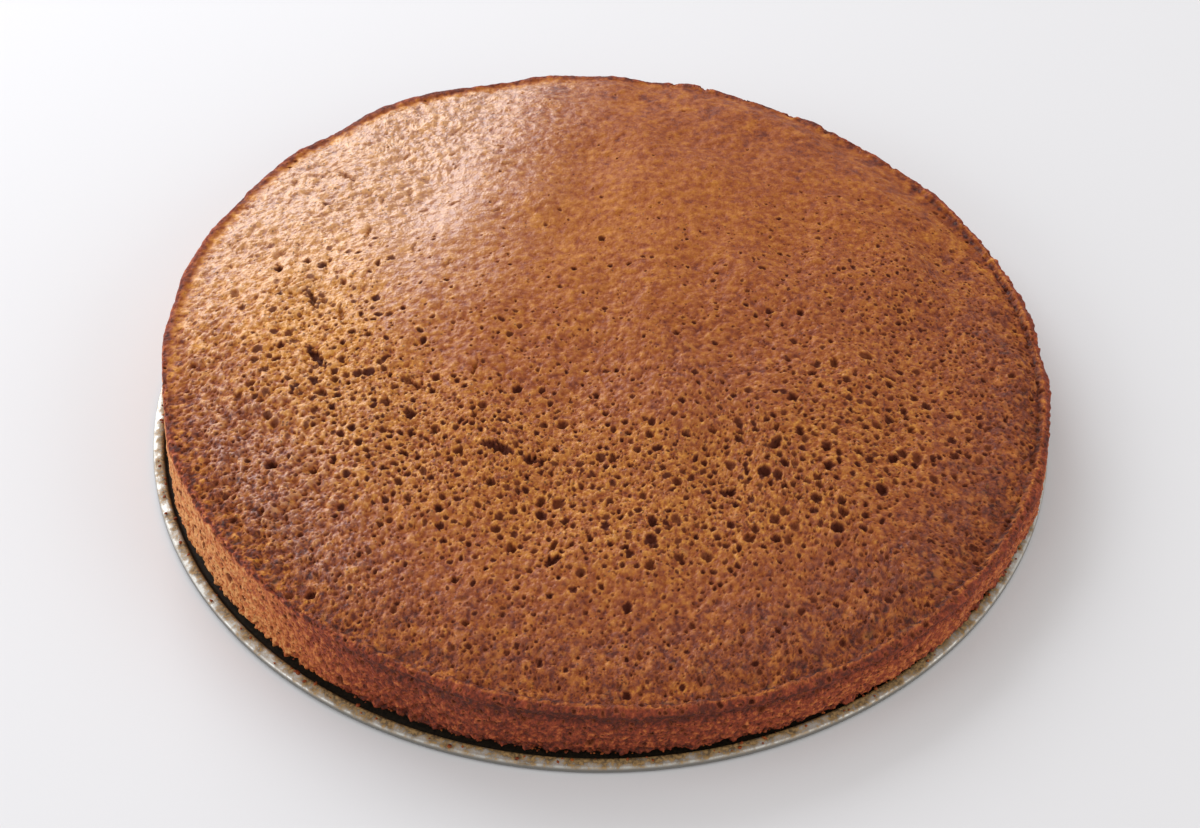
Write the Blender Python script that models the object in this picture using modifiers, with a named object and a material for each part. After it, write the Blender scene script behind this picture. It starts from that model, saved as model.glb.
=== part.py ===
"""A carrot cake baked in a 26 cm springform tin, uncut, still on the base of its tin.

The cake is one solid: a low dome with an uneven crust on an upright wall, thicker on the left
than on the right. A crease and a thin ridge run inside its rim, open pores crowd its front
slope, cracks ring its risen middle, and its bottom edge is ragged. The tin's base is one thin
turned sheet with a folded lip.

Metres, +Z up, +Y to the back, +X to the right. The origin is on the ground, under the middle
of the tin's base.
"""

import math
import random

import bmesh
import bpy
from mathutils import Matrix, Vector

# Tin base
TIN_RADIUS = 0.130
SHEET = 0.0008
LIP_WIDTH = 0.0036
LIP_HEIGHT = 0.0029
LIP_SLOPE = 0.0004
LIP_ROUNDING = 0.0008
FLANGE_LOW = 0.0005
TIN_SEGMENTS = 96

# Cake, from the ground up
CAKE_CENTRE = Vector((0.0019, 0.0006, 0.0))
GAP = 0.0003
BOTTOM_HEIGHT = SHEET + GAP
BOTTOM_RADIUS = 0.1226
UNDERCUT_HEIGHT = 0.0042
WALL_RADIUS = 0.1274
RIM_RADIUS = 0.1264
RIM_HEIGHT = 0.0226
SHOULDER = 0.0020

# How much the rim stands above its mean height on the right and at the back
RIM_RISE_RIGHT = -0.0070
RIM_RISE_BACK = 0.0025

# Dome, with its top a little to the right and well to the back of the middle
DOME_HEIGHT = 0.0155
DOME_POWER = 2.3
DOME_TOP = Vector((0.004, 0.014, 0.0))

# Thin ridge where the batter climbed the tin, and the crease inside it
RIDGE_RADIUS = 0.1254
RIDGE_HEIGHT = 0.0007
RIDGE_WIDTH = 0.0011
CREASE_RADIUS = 0.1215
CREASE_DEPTH = 0.0009
CREASE_WIDTH = 0.0024

# Uneven swell of the crust, as waves in all directions
LUMP_COUNT = 18
LUMP_LENGTHS = (0.020, 0.055)
LUMP_HEIGHT = 0.00050
LUMP_SEED = 11
RAGGED_DEPTH = 0.0009
RAGGED_TURNS = (23, 37, 53)

# Open pores, on a crescent round a point behind the middle
CRESCENT_CENTRE = Vector((0.005, 0.025, 0.0))
CRESCENT_RADIUS = 0.096
CRESCENT_SPREAD = 0.014
CRESCENT_ANGLES = (-183.0, -25.0)
PORE_COUNT = 84
PORE_RADII = (0.0012, 0.0022)
PORE_CLEARANCE = 0.0007
PORE_REACH = 0.117
PORE_SEED = 5

# Cracks: x, y, length and width in metres, and the heading in degrees
CRACKS = (
    (-0.0280, -0.0465, 0.0105, 0.0034, -22.0),
    (-0.0185, -0.0505, 0.0065, 0.0030, -10.0),
    (-0.0800, -0.0110, 0.0120, 0.0030, -58.0),
    (-0.0830, 0.0130, 0.0110, 0.0026, -68.0),
    (-0.0740, 0.0060, 0.0095, 0.0018, -80.0),
    (-0.0765, 0.0680, 0.0100, 0.0018, -52.0),
    (-0.0680, 0.0390, 0.0085, 0.0014, 86.0),
    (-0.0520, -0.0225, 0.0095, 0.0024, -34.0),
    (-0.0350, -0.0180, 0.0075, 0.0014, 78.0),
    (-0.0125, -0.0820, 0.0052, 0.0034, 24.0),
    (0.0350, -0.0575, 0.0052, 0.0032, 8.0),
)
CRACK_DEPTH = 0.0034

# Chips out of the rim, which show against the light at the back right
CHIP_COUNT = 13
CHIP_ANGLES = (4.0, 84.0)
CHIP_RADII = (0.0010, 0.0017)
CHIP_SEED = 3

# Holes in the wall, most of them near its top
HOLE_COUNT = 16
HOLE_RADII = (0.0009, 0.0016)
HOLE_SEED = 8

CAKE_SEGMENTS = 96
TOP_RINGS = 19
WALL_ROWS = 5
COLLECTION_NAME = "carrot_cake"


def clear_scene():
    for obj in list(bpy.data.objects):
        bpy.data.objects.remove(obj, do_unlink=True)


def new_collection(name):
    collection = bpy.data.collections.new(name)
    bpy.context.scene.collection.children.link(collection)
    return collection


def material(name, colour, roughness, metallic=0.0):
    """A Principled BSDF with the finish of one sub-part."""
    finish = bpy.data.materials.new(name)
    finish.use_nodes = True
    shader = finish.node_tree.nodes["Principled BSDF"]
    shader.inputs["Base Color"].default_value = (*colour, 1.0)
    shader.inputs["Roughness"].default_value = roughness
    shader.inputs["Metallic"].default_value = metallic
    return finish


def turned(name, profile, segments, collection):
    """A closed solid of revolution. The profile runs from the axis at its top to the axis at
    its bottom."""
    bm = bmesh.new()
    points = [bm.verts.new((radius, 0.0, height)) for radius, height in profile]
    for upper, lower in zip(points, points[1:]):
        bm.edges.new((upper, lower))
    mesh = bpy.data.meshes.new(name)
    bm.to_mesh(mesh)
    bm.free()
    obj = bpy.data.objects.new(name, mesh)
    collection.objects.link(obj)
    screw = obj.modifiers.new("Turn", "SCREW")
    screw.steps = segments
    screw.render_steps = segments
    screw.use_merge_vertices = True
    screw.merge_threshold = 0.00001
    screw.use_smooth_shade = True
    return obj


def applied(obj):
    """Turns an object's modifiers into its own mesh."""
    bpy.context.view_layer.update()
    graph = bpy.context.evaluated_depsgraph_get()
    mesh = bpy.data.meshes.new_from_object(obj.evaluated_get(graph))
    obj.modifiers.clear()
    obj.data = mesh


def between(start, end, share):
    return start + (end - start) * share


def arc(centre, radius, start, end, steps):
    """Points on a quarter or other stretch of a circle, with angles in degrees."""
    angles = [math.radians(between(start, end, step / steps)) for step in range(steps + 1)]
    return [(centre[0] + radius * math.cos(a), centre[1] + radius * math.sin(a)) for a in angles]


def tin_profile():
    """The sheet's upper side from the middle out over the lip, then back along its underside."""
    lip_start = TIN_RADIUS - LIP_WIDTH
    lip_low = LIP_HEIGHT - LIP_SLOPE
    outer = arc(
        (TIN_RADIUS - LIP_ROUNDING, lip_low - LIP_ROUNDING), LIP_ROUNDING, 90.0, 0.0, 3
    )
    flange_inside = TIN_RADIUS - SHEET
    lip_underside = LIP_HEIGHT - 2.0 * SHEET
    return [
        (0.0, SHEET),
        (lip_start - 1.5 * SHEET, SHEET),
        (lip_start, 2.0 * SHEET),
        (lip_start + 0.5 * SHEET, LIP_HEIGHT - 0.3 * SHEET),
        (lip_start + SHEET, LIP_HEIGHT),
        *outer,
        (TIN_RADIUS, FLANGE_LOW),
        (flange_inside, FLANGE_LOW),
        (flange_inside, lip_underside),
        (lip_start + 1.6 * SHEET, lip_underside),
        (lip_start + SHEET, SHEET),
        (lip_start, 0.0),
        (0.0, 0.0),
    ]


def tin_base(collection):
    """Pressed steel sheet that lies flat on the ground, with its lip folded up and over."""
    base = turned("tin_base", tin_profile(), TIN_SEGMENTS, collection)
    base.data.materials.append(material("tinned_steel", (0.42, 0.42, 0.40), 0.35, 1.0))
    return base


def dome_height(radius):
    """Height of the level blank's top at this radius, with the ridge and the crease."""
    dome = DOME_HEIGHT * (1.0 - (radius / RIM_RADIUS) ** DOME_POWER)
    ridge = RIDGE_HEIGHT * math.exp(-(((radius - RIDGE_RADIUS) / RIDGE_WIDTH) ** 2))
    crease = CREASE_DEPTH * math.exp(-(((radius - CREASE_RADIUS) / CREASE_WIDTH) ** 2))
    return RIM_HEIGHT + dome + ridge - crease


def cake_profile():
    """The level blank: from the top of the dome out, round the shoulder and down the wall."""
    inner = CREASE_RADIUS - 1.5 * CREASE_WIDTH
    radii = [inner * step / TOP_RINGS for step in range(TOP_RINGS + 1)]
    radii += [CREASE_RADIUS - 0.5 * CREASE_WIDTH, CREASE_RADIUS, CREASE_RADIUS + 0.5 * CREASE_WIDTH]
    radii += [RIDGE_RADIUS - RIDGE_WIDTH, RIDGE_RADIUS]
    top = [(radius, dome_height(radius)) for radius in radii]
    edge = (WALL_RADIUS - 0.3 * SHOULDER, RIM_HEIGHT - 0.2 * SHOULDER)
    wall_top = RIM_HEIGHT - SHOULDER
    rows = [step / WALL_ROWS for step in range(WALL_ROWS + 1)]
    wall = [(WALL_RADIUS, between(wall_top, UNDERCUT_HEIGHT, share)) for share in rows]
    over_lip = LIP_HEIGHT + GAP
    undercut = [
        (between(WALL_RADIUS, BOTTOM_RADIUS, 0.3), between(UNDERCUT_HEIGHT, over_lip, 0.7)),
        (BOTTOM_RADIUS + GAP, over_lip),
        (BOTTOM_RADIUS, BOTTOM_HEIGHT),
        (0.0, BOTTOM_HEIGHT),
    ]
    return [*top, edge, *wall, *undercut]


def lump_waves():
    """Wave vectors and phases of the crust's swell."""
    draw = random.Random(LUMP_SEED)
    waves = []
    for _ in range(LUMP_COUNT):
        heading = draw.uniform(0.0, 2.0 * math.pi)
        climb = draw.uniform(-0.5, 0.5)
        turns = 2.0 * math.pi / draw.uniform(*LUMP_LENGTHS)
        direction = Vector((math.cos(heading), math.sin(heading), climb))
        waves.append((direction.normalized() * turns, draw.uniform(0.0, 2.0 * math.pi)))
    return waves


def swell(point, waves):
    """Height of the crust's swell at a point of the blank."""
    total = sum(math.sin(wave.dot(point) + phase) for wave, phase in waves)
    return LUMP_HEIGHT * total / math.sqrt(0.5 * LUMP_COUNT)


def raggedness(angle):
    """How far the bottom edge is eaten away, from 0 to 1."""
    waves = [math.sin(turns * angle + turns) for turns in RAGGED_TURNS]
    return 0.5 + 0.5 * sum(waves) / len(waves)


def baked(point):
    """A point of the level blank once the cake has risen: the rim is tilted, and the top of
    the dome lies off the middle."""
    share = min(1.0, max(0.0, (point.z - UNDERCUT_HEIGHT) / (RIM_HEIGHT - UNDERCUT_HEIGHT)))
    inward = max(0.0, 1.0 - (point.xy.length / RIM_RADIUS) ** 2)
    moved = point + DOME_TOP * inward * share
    tilt = (RIM_RISE_RIGHT * moved.x + RIM_RISE_BACK * moved.y) / RIM_RADIUS
    moved.z += share * tilt
    return moved + CAKE_CENTRE


def crust_height(x, y):
    """Height of the baked crust over a place on the ground, close enough to set a cutter."""
    place = Vector((x, y, 0.0)) - CAKE_CENTRE
    inward = max(0.0, 1.0 - (place.xy.length / RIM_RADIUS) ** 2)
    radius = (place.xy - DOME_TOP.xy * inward).length
    tilt = (RIM_RISE_RIGHT * place.x + RIM_RISE_BACK * place.y) / RIM_RADIUS
    return dome_height(radius) + tilt


def shape_cake(obj):
    """Moves the turned blank's points: the swell of the crust, the ragged edge and the tilt."""
    waves = lump_waves()
    for vertex in obj.data.vertices:
        blank = vertex.co.copy()
        raised = min(1.0, max(0.0, (blank.z - UNDERCUT_HEIGHT) / SHOULDER))
        blank += vertex.normal * swell(blank, waves) * raised
        if BOTTOM_RADIUS <= blank.xy.length + GAP and blank.z <= UNDERCUT_HEIGHT + GAP:
            eaten = RAGGED_DEPTH * raggedness(math.atan2(blank.y, blank.x))
            blank.xy -= blank.xy.normalized() * eaten
        vertex.co = baked(blank)


def large_pores():
    """Centres and radii of the open pores, none of which meet."""
    draw = random.Random(PORE_SEED)
    pores = []
    taken = [(Vector((x, y)), 0.5 * length) for x, y, length, _, _ in CRACKS]
    while len(pores) < PORE_COUNT:
        angle = math.radians(draw.uniform(*CRESCENT_ANGLES))
        away = CRESCENT_RADIUS + draw.gauss(0.0, CRESCENT_SPREAD)
        centre = Vector((math.cos(angle), math.sin(angle))) * away + CRESCENT_CENTRE.xy
        radius = between(*PORE_RADII, draw.random() ** 2)
        turn = draw.uniform(0.0, math.pi)
        clear = all(
            (centre - other).length > radius + reach + PORE_CLEARANCE for other, reach in taken
        )
        if clear and (centre - CAKE_CENTRE.xy).length < PORE_REACH:
            taken.append((centre, radius))
            pores.append((centre, radius, turn))
    return pores


def cut_stone(bm, centre, half_sizes, turn):
    """Adds one rough stone to the cutter: twenty faces, stretched to its half sizes."""
    stretch = Matrix.Diagonal((*half_sizes, 1.0))
    place = Matrix.Translation(centre) @ Matrix.Rotation(turn, 4, "Z") @ stretch
    bmesh.ops.create_icosphere(bm, subdivisions=1, radius=1.0, matrix=place)


def cut_pores(bm):
    for centre, radius, turn in large_pores():
        height = crust_height(*centre) - 0.1 * radius
        cut_stone(bm, (*centre, height), (1.2 * radius, radius, 1.5 * radius), turn)


def cut_cracks(bm):
    for x, y, length, width, heading in CRACKS:
        sizes = (0.5 * length, 0.5 * width, CRACK_DEPTH)
        cut_stone(bm, (x, y, crust_height(x, y)), sizes, math.radians(heading))


def cut_chips(bm):
    """Chips along the rim, evenly spread with a little play."""
    draw = random.Random(CHIP_SEED)
    for step in range(CHIP_COUNT):
        share = (step + draw.uniform(0.2, 0.8)) / CHIP_COUNT
        angle = math.radians(between(*CHIP_ANGLES, share))
        radius = draw.uniform(*CHIP_RADII)
        blank = Vector((math.cos(angle), math.sin(angle), 0.0)) * (WALL_RADIUS - 0.3 * SHOULDER)
        blank.z = RIM_HEIGHT
        cut_stone(bm, baked(blank), (1.4 * radius, radius, 1.3 * radius), angle + 0.5 * math.pi)


def cut_holes(bm):
    """Holes in the wall, spread evenly round it."""
    draw = random.Random(HOLE_SEED)
    for step in range(HOLE_COUNT):
        angle = 2.0 * math.pi * (step + draw.uniform(0.15, 0.85)) / HOLE_COUNT
        radius = draw.uniform(*HOLE_RADII)
        blank = Vector((math.cos(angle), math.sin(angle), 0.0)) * WALL_RADIUS
        blank.z = between(RIM_HEIGHT - 2.5 * SHOULDER, UNDERCUT_HEIGHT + SHOULDER, draw.random() ** 2)
        cut_stone(bm, baked(blank), (1.3 * radius, 1.2 * radius, radius), angle)


def cutter_object(collection):
    """All the hollows of the crust and the wall as one cutter."""
    bm = bmesh.new()
    cut_pores(bm)
    cut_cracks(bm)
    cut_chips(bm)
    cut_holes(bm)
    mesh = bpy.data.meshes.new("pores_and_cracks")
    bm.to_mesh(mesh)
    bm.free()
    cutter = bpy.data.objects.new("pores_and_cracks", mesh)
    collection.objects.link(cutter)
    cutter.hide_render = True
    cutter.display_type = "WIRE"
    return cutter


def cake(collection, cutters):
    """The uncut cake, with its pores, cracks and chips cut out of the shaped blank."""
    obj = turned("cake", cake_profile(), CAKE_SEGMENTS, collection)
    applied(obj)
    shape_cake(obj)
    cut = obj.modifiers.new("Hollows", "BOOLEAN")
    cut.operation = "DIFFERENCE"
    cut.solver = "EXACT"
    cut.object = cutter_object(cutters)
    obj.data.materials.append(material("baked_crumb", (0.40, 0.17, 0.06), 0.75))
    obj.data.shade_smooth()
    return obj


def main():
    clear_scene()
    parts = new_collection(COLLECTION_NAME)
    cutters = new_collection("cutters")
    tin_base(parts)
    cake(parts, cutters)


main()
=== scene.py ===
"""Looks of a plain carrot cake on the base of its springform tin: crust, pores, crumb and tin.

The cake's skin is one fine surface, drawn over a flat chart: the middle of the chart is the top
of the dome, its outer part goes round the shoulder and down the wall, and its edge is the foot
of the cake. Pores, cracks and grain are heights drawn over that chart, so that they run on from
the top to the wall. Metres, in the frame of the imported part.
"""

import math
import random

import bmesh
import bpy
import numpy as np
from mathutils import Matrix, Vector


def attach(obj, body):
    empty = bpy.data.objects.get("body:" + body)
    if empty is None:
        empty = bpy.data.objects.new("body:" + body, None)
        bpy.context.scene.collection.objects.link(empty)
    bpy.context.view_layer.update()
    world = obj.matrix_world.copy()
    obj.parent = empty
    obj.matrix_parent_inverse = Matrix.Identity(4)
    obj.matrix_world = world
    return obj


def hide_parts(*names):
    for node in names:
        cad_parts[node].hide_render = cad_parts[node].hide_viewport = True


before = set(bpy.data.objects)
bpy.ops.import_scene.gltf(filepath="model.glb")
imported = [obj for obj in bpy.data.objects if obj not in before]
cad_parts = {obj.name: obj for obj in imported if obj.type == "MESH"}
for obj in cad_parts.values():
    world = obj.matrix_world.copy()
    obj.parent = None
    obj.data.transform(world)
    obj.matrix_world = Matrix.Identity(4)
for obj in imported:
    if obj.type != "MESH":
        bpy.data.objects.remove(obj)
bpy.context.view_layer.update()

MM = 0.001

# Tin base, as in the part
TIN_RADIUS = 130.0 * MM
SHEET = 0.8 * MM
LIP_WIDTH = 3.6 * MM
LIP_HEIGHT = 2.9 * MM
LIP_SLOPE = 0.4 * MM
LIP_ROUNDING = 0.8 * MM
FLANGE_LOW = 0.5 * MM

# Cake, as in the part
CAKE_CENTRE = Vector((1.9 * MM, 0.6 * MM, 0.0))
GAP = 0.3 * MM
BOTTOM_HEIGHT = SHEET + GAP
BOTTOM_RADIUS = 122.6 * MM
UNDERCUT_HEIGHT = 4.2 * MM
WALL_RADIUS = 127.4 * MM
RIM_RADIUS = 126.4 * MM
RIM_HEIGHT = 22.6 * MM
SHOULDER = 2.0 * MM
RIM_RISE_RIGHT = -7.0 * MM
RIM_RISE_BACK = 2.5 * MM
DOME_HEIGHT = 15.5 * MM
DOME_POWER = 2.3
DOME_TOP = Vector((4.0 * MM, 14.0 * MM, 0.0))
RIDGE_RADIUS = 125.4 * MM
RIDGE_HEIGHT = 0.7 * MM
RIDGE_WIDTH = 1.1 * MM
CREASE_RADIUS = 121.5 * MM
CREASE_DEPTH = 0.9 * MM
CREASE_WIDTH = 2.4 * MM
LUMP_COUNT = 18
LUMP_LENGTHS = (0.020, 0.055)
LUMP_HEIGHT = 0.5 * MM
LUMP_SEED = 11
RAGGED_DEPTH = 0.9 * MM
RAGGED_TURNS = (23, 37, 53)

# Large pores, cracks, chips and holes, as in the part
CRESCENT_CENTRE = Vector((5.0 * MM, 25.0 * MM))
CRESCENT_RADIUS = 96.0 * MM
CRESCENT_SPREAD = 14.0 * MM
CRESCENT_ANGLES = (-183.0, -25.0)
PORE_COUNT = 84
PORE_RADII = (0.0012, 0.0022)
PORE_CLEARANCE = 0.7 * MM
PORE_REACH = 117.0 * MM
PORE_SEED = 5
CRACKS = (
    (-0.0280, -0.0465, 0.0105, 0.0034, -22.0),
    (-0.0185, -0.0505, 0.0065, 0.0030, -10.0),
    (-0.0800, -0.0110, 0.0120, 0.0030, -58.0),
    (-0.0830, 0.0130, 0.0110, 0.0026, -68.0),
    (-0.0740, 0.0060, 0.0095, 0.0018, -80.0),
    (-0.0765, 0.0680, 0.0100, 0.0018, -52.0),
    (-0.0680, 0.0390, 0.0085, 0.0014, 86.0),
    (-0.0520, -0.0225, 0.0095, 0.0024, -34.0),
    (-0.0350, -0.0180, 0.0075, 0.0014, 78.0),
    (-0.0125, -0.0820, 0.0052, 0.0034, 24.0),
    (0.0350, -0.0575, 0.0052, 0.0032, 8.0),
)
CHIP_COUNT = 13
CHIP_ANGLES = (4.0, 84.0)
CHIP_RADII = (0.0010, 0.0017)
CHIP_SEED = 3
HOLE_COUNT = 16
HOLE_RADII = (0.0009, 0.0016)
HOLE_SEED = 8

# Cracks, cut shallower here than in the part, as the photograph's shadows ask
CRACK_DEPTH = 2.6 * MM

# Finer ridge, crease, ledge and recess at the front and the right of the rim
FINE_RIDGE_HEIGHT = 0.32 * MM
FINE_CREASE_DEPTH = 0.50 * MM
LEDGE_OUT = 0.35 * MM
RECESS_IN = 0.55 * MM

# Share of the part's crease that is filled where the photograph shows none, and how far the
# ridge beside it comes down against that
CREASE_FILLED = 0.75
RIDGE_AGAINST_CREASE = 0.6

# Widths of the crust's knobs, from large to small
BOULDER_WIDTH = 4.6 * MM
KNOB_WIDTH = 2.9 * MM
CRUMB_WIDTH = 1.35 * MM

# A pore's raised lip, and what counts as standing out: so far above a patch of such a width
PORE_LIP = 0.08 * MM
RISE_UNIT = 0.1 * MM
SURROUNDINGS = 3.5 * MM

# Scattered pores: the most there can be a square centimetre, and their middle width
OPEN_PORES, OPEN_WIDTH = 7.0, 2.00 * MM
COMMON_PORES, COMMON_WIDTH = 15.0, 1.20 * MM
FINE_PORES, FINE_WIDTH = 24.0, 0.78 * MM

# The gap that most pores keep from others, how far a place may be sunk and still count as free,
# and the share of pores that may run into others
PORE_GAP = 0.15 * MM
UNTOUCHED = 0.12 * MM
MERGING_SHARE = 0.12

# Slits round the left shoulder of the dome, and short folds beside the cracks there
SLIT_COUNT = 60
SLIT_ANGLES = (112.0, 215.0)
SLIT_LENGTHS = (2.0, 6.5)
SLIT_RADIUS = 92.0 * MM
SLIT_SPREAD = 15.0 * MM
LADDER_X = -86.5 * MM
LADDER_Y = 18.0 * MM
LADDER_TURN = 39.0
LADDER_STEP = 1.8 * MM

# Loose crumbs on the tin's lip and along the foot
LOOSE_CRUMBS = 700
LOOSE_SMALLEST = 0.18 * MM
LOOSE_PLAY = 0.42 * MM

# Widths of the crumb's grain, coarse and fine, of its granules and of the cells of its pinholes
GRAIN_WIDTH = 1.9 * MM
FINE_GRAIN_WIDTH = 0.6 * MM
GRANULE_WIDTH = 0.8 * MM
PINHOLE_CELL = 1.15 * MM

# Widths of the stains on the tin and of the flecks in them, and the tin's rings and steps
STAIN_WIDTH = 3.6 * MM
FLECK_WIDTH = 0.9 * MM
SHEET_RINGS = (60.0 * MM, 115.0 * MM)
TIN_STEPS = 1080

FLOOR_REACH = 4.0

# The chart, and the raster that its heights are drawn on
PROFILE_TOP_STEPS = 1200
CHART_ROWS = 900
BANDS = 9
RASTER_SIDE = 2048
RASTER_WIDTH = 0.314

# Camera, fitted to the outline of the tin's base
CAMERA_PITCH = 45.5
CAMERA_DISTANCE = 0.820
CAMERA_AIM = Vector((-0.00015, 0.0011, 0.0005))
CAMERA_LENS = 84.0


def add(tree, kind, inputs=None, stops=None, **settings):
    """Adds a node with its settings. An input is a value or the socket that feeds it."""
    made = tree.nodes.new(kind)
    for name, value in settings.items():
        setattr(made, name, value)
    for name, value in (inputs or {}).items():
        if isinstance(value, bpy.types.NodeSocket):
            tree.links.new(value, made.inputs[name])
        else:
            made.inputs[name].default_value = value
    for place, colour in stops or ():
        ramp = made.color_ramp.elements
        stop = ramp[0] if place == 0.0 else ramp[-1] if place == 1.0 else ramp.new(place)
        stop.color = colour
    return made


def hex_colour(code):
    """A colour given as sRGB hex, as the linear numbers that a shader takes."""
    parts = [int(code[i : i + 2], 16) / 255.0 for i in (1, 3, 5)]
    linear = [p / 12.92 if p <= 0.04045 else ((p + 0.055) / 1.055) ** 2.4 for p in parts]
    return (*linear, 1.0)


def between(start, end, share):
    """The value at this share of the way from start to end."""
    return start + (end - start) * share


def smooth_step(low, high, value):
    """0 below low, 1 above high, with a soft turn between."""
    share = np.clip((value - low) / (high - low), 0.0, 1.0)
    return share * share * (3.0 - 2.0 * share)


def bump_at(value, middle, width):
    """1 at the middle, falling off on both sides like a bell."""
    return np.exp(-(((value - middle) / width) ** 2))


def dome_height(radius):
    """Height of the level blank's top, with the ridge and the crease."""
    dome = DOME_HEIGHT * (1.0 - (radius / RIM_RADIUS) ** DOME_POWER)
    ridge = RIDGE_HEIGHT * bump_at(radius, RIDGE_RADIUS, RIDGE_WIDTH)
    crease = CREASE_DEPTH * bump_at(radius, CREASE_RADIUS, CREASE_WIDTH)
    return RIM_HEIGHT + dome + ridge - crease


def curved(start, corner, end, steps):
    """Points on a curve from start to end that turns at the corner."""
    t = np.linspace(0.0, 1.0, steps)[:, None]
    start, corner, end = np.array(start), np.array(corner), np.array(end)
    return (1 - t) ** 2 * start + 2 * t * (1 - t) * corner + t**2 * end


def blank_profile():
    """Radius, height and way along the surface of the blank's profile, from the middle of the
    dome round the shoulder and down the wall to the foot. On the top the way is the radius."""
    radii = np.linspace(0.0, RIDGE_RADIUS, PROFILE_TOP_STEPS)
    top = np.stack([radii, dome_height(radii)], 1)
    ridge = top[-1]
    wall_top = (WALL_RADIUS, RIM_HEIGHT - SHOULDER)
    shoulder = curved(ridge, (WALL_RADIUS, ridge[1]), wall_top, 60)[1:]
    wall = np.linspace(wall_top, (WALL_RADIUS, UNDERCUT_HEIGHT + 0.5 * MM), 200)[1:]
    clear = LIP_HEIGHT + GAP
    over_lip = (BOTTOM_RADIUS + 1.5 * MM, clear)
    bottom = (BOTTOM_RADIUS, BOTTOM_HEIGHT)
    overhang = curved(wall[-1], (WALL_RADIUS, clear), over_lip, 60)[1:]
    foot = curved(over_lip, (BOTTOM_RADIUS, clear), bottom, 40)[1:]
    line = np.concatenate([top, shoulder, wall, overhang, foot])
    steps = np.linalg.norm(np.diff(line[PROFILE_TOP_STEPS - 1 :], axis=0), axis=1)
    way = np.concatenate([radii, RIDGE_RADIUS + np.cumsum(steps)])
    return line[:, 0], line[:, 1], way


RADIUS_LINE, HEIGHT_LINE, WAY_LINE = blank_profile()
CHART_RADIUS = WAY_LINE[-1]


def wall_way(height):
    """Way along the surface to this height of the wall."""
    first = PROFILE_TOP_STEPS - 1
    return np.interp(-height, -HEIGHT_LINE[first:], WAY_LINE[first:])


def lump_waves():
    """Wave vectors and phases of the crust's swell, drawn as in the part."""
    draw = random.Random(LUMP_SEED)
    waves = []
    for _ in range(LUMP_COUNT):
        heading = draw.uniform(0.0, 2.0 * math.pi)
        climb = draw.uniform(-0.5, 0.5)
        turns = 2.0 * math.pi / draw.uniform(*LUMP_LENGTHS)
        direction = Vector((math.cos(heading), math.sin(heading), climb))
        waves.append((np.array(direction.normalized() * turns), draw.uniform(0.0, 2.0 * math.pi)))
    return waves


def swell(points):
    """Height of the crust's broad swell at points of the blank, as in the part."""
    total = sum(np.sin(points @ wave + phase) for wave, phase in lump_waves())
    return LUMP_HEIGHT * total / math.sqrt(0.5 * LUMP_COUNT)


def grain(seed, fine, coarse):
    """Smooth random heights over the chart, with features between two sizes and a spread of 1."""
    white = np.random.default_rng(seed).standard_normal((RASTER_SIDE, RASTER_SIDE))
    along = np.fft.fftfreq(RASTER_SIDE, RASTER_WIDTH / RASTER_SIDE)
    across = np.fft.rfftfreq(RASTER_SIDE, RASTER_WIDTH / RASTER_SIDE)
    rate = np.hypot(along[:, None], across[None, :])
    kept = np.exp(-((rate * fine) ** 2)) * (1.0 - np.exp(-((rate * coarse) ** 2)))
    field = np.fft.irfft2(np.fft.rfft2(white) * kept, s=white.shape)
    return field / field.std()


def knobs(seed, width):
    """Round knobs that crowd over the chart, one to each cell of a shaken grid of this width,
    with creases between them and a spread of 1."""
    side = int(RASTER_WIDTH / width)
    seeds = np.random.default_rng(seed).uniform(0.1, 0.9, (2, side, side))
    x, y = raster_places()
    column = (x / RASTER_WIDTH + 0.5) * side + 0.16 * grain(seed + 100, 0.6 * width, 2.0 * width)
    row = (y / RASTER_WIDTH + 0.5) * side + 0.16 * grain(seed + 200, 0.6 * width, 2.0 * width)
    first_column, first_row = np.floor(column).astype(int), np.floor(row).astype(int)
    nearest = np.full(x.shape, 4.0)
    for down in (-1, 0, 1):
        for across in (-1, 0, 1):
            cell_row, cell_column = first_row + down, first_column + across
            seat = cell_row % side, cell_column % side
            away_x = cell_column + seeds[0][seat] - column
            away_y = cell_row + seeds[1][seat] - row
            nearest = np.minimum(nearest, away_x**2 + away_y**2)
    return (nearest.mean() - nearest) / nearest.std()


def standing_out(heights, width):
    """How far each pixel of a raster stands above its surroundings of this width."""
    along = np.fft.fftfreq(RASTER_SIDE, RASTER_WIDTH / RASTER_SIDE)
    across = np.fft.rfftfreq(RASTER_SIDE, RASTER_WIDTH / RASTER_SIDE)
    kept = 1.0 - np.exp(-((width * np.hypot(along[:, None], across[None, :])) ** 2))
    return np.fft.irfft2(np.fft.rfft2(heights) * kept, s=heights.shape)


def raster_places():
    """Chart coordinates of the raster's pixels, x along rows and y along columns."""
    line = (np.arange(RASTER_SIDE) + 0.5) / RASTER_SIDE - 0.5
    return np.meshgrid(line * RASTER_WIDTH, line * RASTER_WIDTH, indexing="xy")


def read(field, x, y):
    """Values of a raster at places on the chart, blended between pixels."""
    column = (x / RASTER_WIDTH + 0.5) * RASTER_SIDE - 0.5
    row = (y / RASTER_WIDTH + 0.5) * RASTER_SIDE - 0.5
    left, low = column.astype(int), row.astype(int)
    across, up = column - left, row - low
    lower = field[low, left] * (1 - across) + field[low, left + 1] * across
    upper = field[low + 1, left] * (1 - across) + field[low + 1, left + 1] * across
    return lower * (1 - up) + upper * up


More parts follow.
